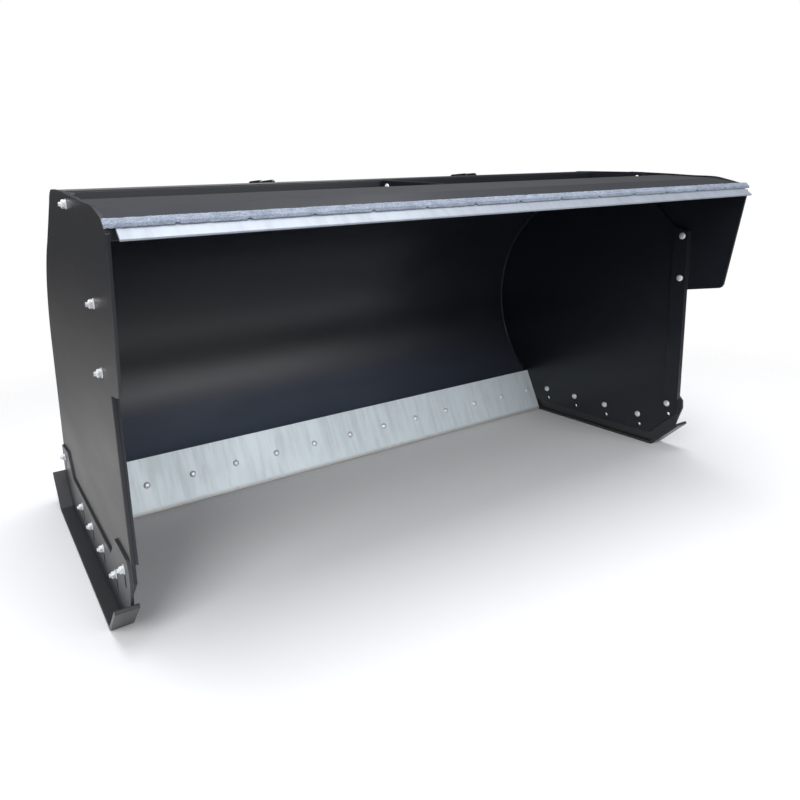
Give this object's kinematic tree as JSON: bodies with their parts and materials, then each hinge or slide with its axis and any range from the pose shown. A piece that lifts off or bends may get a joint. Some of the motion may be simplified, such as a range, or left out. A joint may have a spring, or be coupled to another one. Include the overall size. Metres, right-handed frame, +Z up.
{
  "type": "skid steer snow pusher",
  "caption": "Box-type snow pusher for a compact loader: curved moldboard, side plates, bolt-on cutting edge, pull-back hood, height-adjustable skid shoes and a quick-coupler rear plate.",
  "frame": {"origin": "centre of the footprint, on the ground: mid-width, halfway between the foremost and rearmost points", "axes": "+X across the pusher, -Y out of its open front, +Y towards the loader, +Z up"},
  "size_m": [2.554, 1.4332, 1.272],
  "materials": {
    "black_paint": "gloss black enamel, slightly orange-peeled, dusty on the outer faces",
    "plated_blade": "zinc-grey blade steel, satin, browned along its lower edge",
    "zinc": "bright zinc-plated fasteners",
    "edging": "rough, speckled blue-grey edging strip"
  },
  "bodies": {
    "pusher": {"moldboard": "black_paint", "top_panel": "black_paint", "rear_top_tube": "black_paint", "centre_brace": "black_paint", "lower_channel": "black_paint", "edge_backing_bar": "black_paint", "hood_top_plate": "black_paint", "coupler_plate": "black_paint", "coupler_hook": "black_paint", "coupler_ledge": "black_paint", "cutting_edge": "plated_blade", "pullback_blade": "plated_blade", "edging_strip": "edging", "centre_brace_bolt": "zinc", "edge_bolt_1": "zinc", "edge_bolt_2": "zinc", "edge_bolt_3": "zinc", "edge_bolt_4": "zinc", "edge_bolt_5": "zinc", "edge_bolt_6": "zinc", "edge_bolt_7": "zinc", "edge_bolt_8": "zinc", "edge_bolt_9": "zinc", "edge_bolt_10": "zinc", "edge_bolt_11": "zinc", "edge_bolt_12": "zinc", "edge_bolt_13": "zinc", "left_rib_1": "black_paint", "left_rib_2": "black_paint", "left_side_plate": "black_paint", "left_front_stiffener": "black_paint", "left_hood_ear": "black_paint", "left_ear_bolt_1": "zinc", "left_ear_bolt_2": "zinc", "left_ear_bolt_3": "zinc", "left_shoe_bolt_1": "zinc", "left_shoe_bolt_2": "zinc", "left_shoe_bolt_3": "zinc", "left_shoe_bolt_4": "zinc", "left_shoe_bolt_5": "zinc", "left_shoe_bolt_6": "zinc", "right_rib_1": "black_paint", "right_rib_2": "black_paint", "right_side_plate": "black_paint", "right_front_stiffener": "black_paint", "right_hood_ear": "black_paint", "right_ear_bolt_1": "zinc", "right_ear_bolt_2": "zinc", "right_ear_bolt_3": "zinc", "right_shoe_bolt_1": "zinc", "right_shoe_bolt_2": "zinc", "right_shoe_bolt_3": "zinc", "right_shoe_bolt_4": "zinc", "right_shoe_bolt_5": "zinc", "right_shoe_bolt_6": "zinc"},
    "left_shoe": {"left_shoe_sole": "black_paint", "left_shoe_bracket": "black_paint"},
    "right_shoe": {"right_shoe_sole": "black_paint", "right_shoe_bracket": "black_paint"}
  },
  "joints": [
    {"name": "left_shoe_slide", "type": "slide", "parent": "pusher", "child": "left_shoe", "axis": [0, 0, 1], "range_m": [0, 0.04]},
    {"name": "right_shoe_slide", "type": "slide", "parent": "pusher", "child": "right_shoe", "axis": [0, 0, 1], "range_m": [0, 0.04]}
  ]
}
